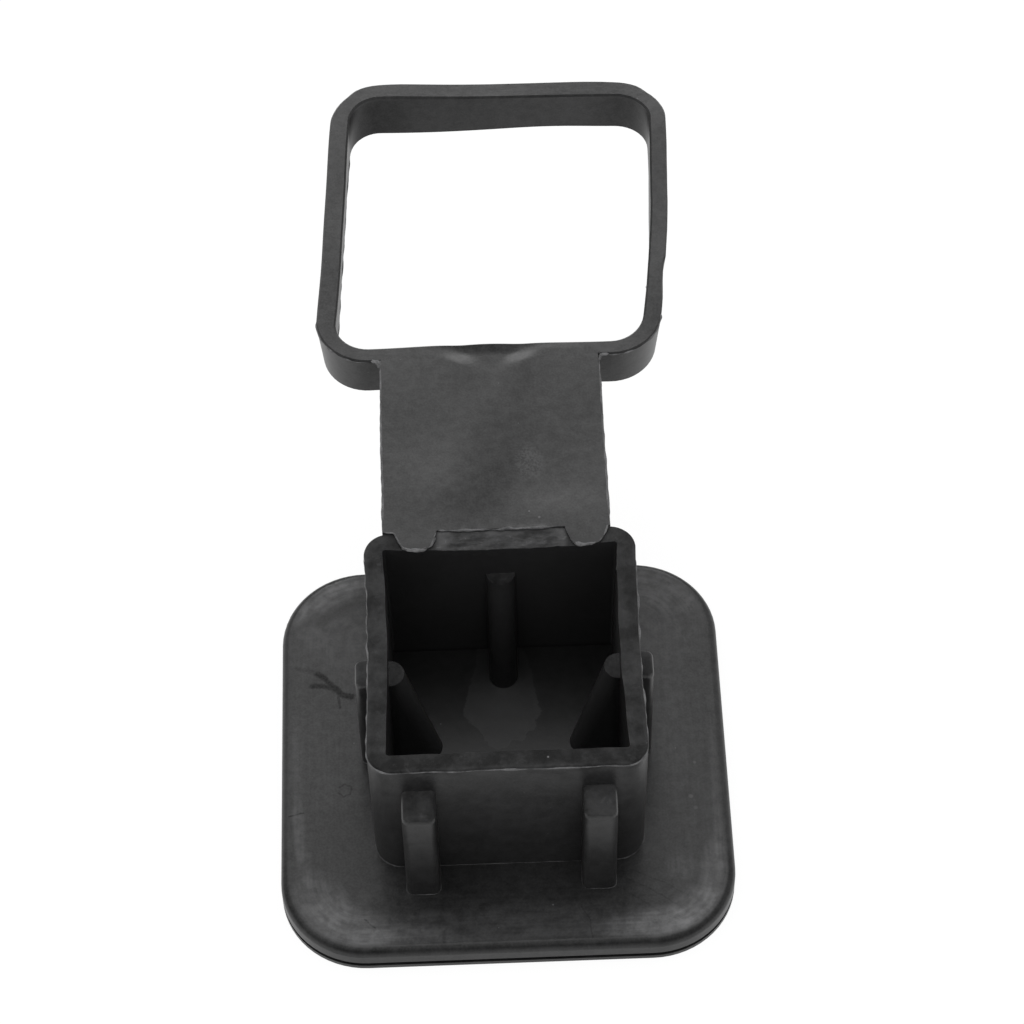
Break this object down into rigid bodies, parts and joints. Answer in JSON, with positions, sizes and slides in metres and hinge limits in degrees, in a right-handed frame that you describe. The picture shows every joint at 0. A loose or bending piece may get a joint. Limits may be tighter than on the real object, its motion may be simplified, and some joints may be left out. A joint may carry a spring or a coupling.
{
  "type": "hitch receiver cover",
  "caption": "Moulded rubber cover for a square hitch receiver: rounded square cover plate, hollow ribbed plug, flat strap and a square ring that stays on the receiver.",
  "frame": {"origin": "middle of the cover plate's outer face, the face that shows when the cover is fitted and that it rests on here", "axes": "+Z points out of the plug's mouth, into the receiver; +Y runs along the strap to the ring; +X is the right side when looking along +Y"},
  "size_m": [0.078, 0.1664, 0.0381],
  "materials": {
    "rubber": "matte"
  },
  "bodies": {
    "root": {"receiver_cover": "rubber"}
  },
  "joints": []
}
